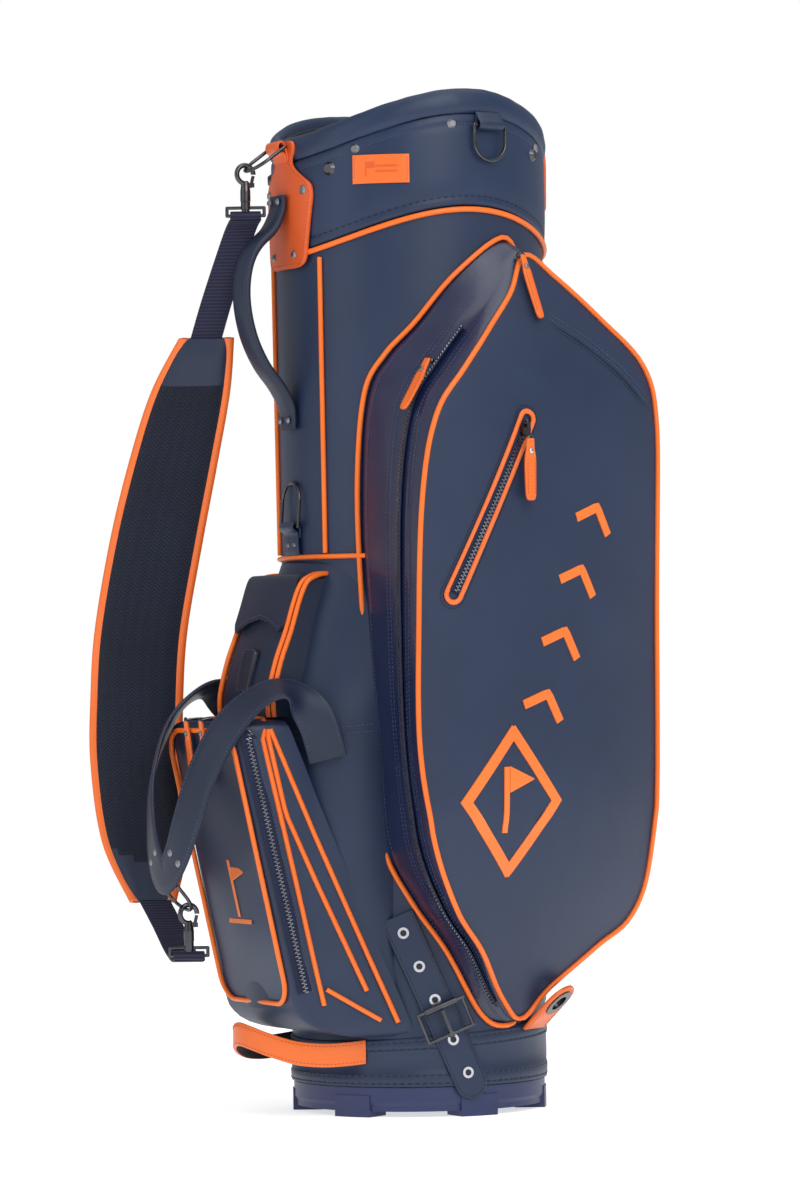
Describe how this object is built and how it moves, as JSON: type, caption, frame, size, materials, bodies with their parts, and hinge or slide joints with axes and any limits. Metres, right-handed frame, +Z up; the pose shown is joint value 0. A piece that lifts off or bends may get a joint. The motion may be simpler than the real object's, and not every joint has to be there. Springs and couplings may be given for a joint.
{
  "type": "golf staff bag",
  "caption": "Round golf staff bag on a cup base, with a padded six-way top, sewn pockets, zips, D-rings, handles and a clip-on padded shoulder strap.",
  "frame": {"origin": "centre of the base's underside, on the tube's axis, at floor level", "axes": "+Z up along the tube, -Y towards the handle and ball pocket, +X towards the right apparel pocket"},
  "size_m": [0.3917, 0.4316, 0.8985],
  "materials": {
    "navy_leather": "matte pebbled navy leather with dark seams",
    "orange_leather": "smooth burnt-orange leather, stitched",
    "orange_piping": "orange piping cord",
    "black_lining": "black knitted lining",
    "mesh_pad": "herringbone spacer mesh with orange edges",
    "webbing": "ribbed navy webbing",
    "zip_tape": "woven zip tape with metal teeth",
    "cup_plastic": "finely textured navy moulding",
    "black_plastic": "black moulded plastic",
    "fibreglass": "pultruded rod",
    "gunmetal": "dark nickel plate",
    "rivet_metal": "satin grey caps"
  },
  "bodies": {
    "bag": {"base_band": "navy_leather", "spine_panel": "navy_leather", "side_panels": "navy_leather", "back_panel": "navy_leather", "cuff": "navy_leather", "cuff_rim": "navy_leather", "front_block": "navy_leather", "pouch_body": "navy_leather", "ball_pocket": "navy_leather", "apparel_pocket_right": "navy_leather", "apparel_pocket_left": "navy_leather", "carry_handle": "navy_leather", "anchor_strap": "navy_leather", "buckle_strap": "navy_leather", "ring_tabs": "navy_leather", "rim_handle": "orange_leather", "cuff_label": "orange_leather", "handle_yoke": "orange_leather", "umbrella_tab": "orange_leather", "grab_strap": "orange_leather", "tube_piping": "orange_piping", "ball_piping": "orange_piping", "pocket_piping": "orange_piping", "body_liner": "black_lining", "club_dividers": "black_lining", "cuff_lining": "black_lining", "divider_sleeves": "black_lining", "strap_pad": "mesh_pad", "strap_webbing": "webbing", "zipper_tapes": "zip_tape", "security_zip": "zip_tape", "base_cup": "cup_plastic", "base_feet": "cup_plastic", "divider_grid": "black_plastic", "pouch_plate": "black_plastic", "frame_stays": "fibreglass", "strap_rings": "gunmetal", "snap_hooks": "gunmetal", "hook_bows": "gunmetal", "zip_sliders": "gunmetal", "umbrella_grommet": "gunmetal", "hood_studs": "gunmetal", "buckle_frame": "gunmetal", "rivets": "rivet_metal", "strap_eyelets": "rivet_metal"},
    "towel_ring": {"towel_ring": "gunmetal"},
    "spine_ring": {"spine_ring": "gunmetal"},
    "upper_gate": {"upper_gate": "gunmetal"},
    "lower_gate": {"lower_gate": "gunmetal"},
    "pouch_flap": {"pouch_flap": "navy_leather"},
    "ball_pull_right": {"ball_pull_right": "orange_leather"},
    "ball_pull_left": {"ball_pull_left": "orange_leather"},
    "gusset_pull_right": {"gusset_pull_right": "orange_leather"},
    "gusset_pull_left": {"gusset_pull_left": "orange_leather"},
    "top_pull_right": {"top_pull_right": "orange_leather"},
    "top_pull_left": {"top_pull_left": "orange_leather"},
    "security_slider": {"security_slider": "gunmetal"},
    "security_pull": {"security_pull": "orange_leather"},
    "buckle_roller": {"buckle_roller": "gunmetal"},
    "buckle_prong": {"buckle_prong": "gunmetal"}
  },
  "joints": [
    {"name": "towel_ring_swing", "type": "hinge", "parent": "bag", "child": "towel_ring", "pos_m": [0.12576, 0.01544, 0.86541], "axis": [0.1219, -0.9925, 0], "range_deg": [0, 140]},
    {"name": "spine_ring_swing", "type": "hinge", "parent": "bag", "child": "spine_ring", "pos_m": [0, -0.12244, 0.518], "axis": [1, 0, 0], "range_deg": [0, 85]},
    {"name": "upper_gate_press", "type": "hinge", "parent": "bag", "child": "upper_gate", "pos_m": [-0.009, -0.15148, 0.8193], "axis": [1, 0, 0], "range_deg": [0, 22], "stiffness_Nm_per_rad": 0.03, "springref_deg": -14.32},
    {"name": "lower_gate_press", "type": "hinge", "parent": "bag", "child": "lower_gate", "pos_m": [0, -0.2204, 0.17045], "axis": [1, 0, 0], "range_deg": [0, 22], "stiffness_Nm_per_rad": 0.03, "springref_deg": -14.32},
    {"name": "pouch_flap_lift", "type": "hinge", "parent": "bag", "child": "pouch_flap", "pos_m": [0, -0.131, 0.4746], "axis": [-1, 0, 0], "range_deg": [0, 110]},
    {"name": "ball_pull_right_swing", "type": "hinge", "parent": "bag", "child": "ball_pull_right", "pos_m": [0.015, -0.219, 0.347], "axis": [-1, 0, 0], "range_deg": [0, 110]},
    {"name": "ball_pull_left_swing", "type": "hinge", "parent": "bag", "child": "ball_pull_left", "pos_m": [-0.015, -0.219, 0.347], "axis": [-1, 0, 0], "range_deg": [0, 110]},
    {"name": "gusset_pull_right_swing", "type": "hinge", "parent": "bag", "child": "gusset_pull_right", "pos_m": [0.14962, -0.06287, 0.65723], "axis": [-0.989, -0.1478, 0], "range_deg": [0, 100]},
    {"name": "gusset_pull_left_swing", "type": "hinge", "parent": "bag", "child": "gusset_pull_left", "pos_m": [-0.15597, -0.02822, 0.65583], "axis": [-0.989, 0.1478, 0], "range_deg": [0, 100]},
    {"name": "top_pull_right_swing", "type": "hinge", "parent": "bag", "child": "top_pull_right", "pos_m": [0.13688, 0.04068, 0.75], "axis": [0.1478, -0.989, 0], "range_deg": [0, 100]},
    {"name": "top_pull_left_swing", "type": "hinge", "parent": "bag", "child": "top_pull_left", "pos_m": [-0.13688, 0.04068, 0.75], "axis": [0.1478, 0.989, 0], "range_deg": [0, 100]},
    {"name": "security_zip_slide", "type": "slide", "parent": "bag", "child": "security_slider", "axis": [0.0242, -0.4482, -0.8936], "range_m": [0, 0.14]},
    {"name": "security_pull_swing", "type": "hinge", "parent": "security_slider", "child": "security_pull", "pos_m": [0.19761, 0.01133, 0.587], "axis": [0.1478, -0.989, 0], "range_deg": [0, 110]},
    {"name": "buckle_roller_spin", "type": "hinge", "parent": "bag", "child": "buckle_roller", "pos_m": [0.11897, -0.04181, 0.09753], "axis": [0.2734, 0.886, 0.3746], "continuous": true},
    {"name": "buckle_prong_lift", "type": "hinge", "parent": "bag", "child": "buckle_prong", "pos_m": [0.12184, -0.0325, 0.07343], "axis": [0.2734, 0.886, 0.3746], "range_deg": [0, 60]}
  ]
}
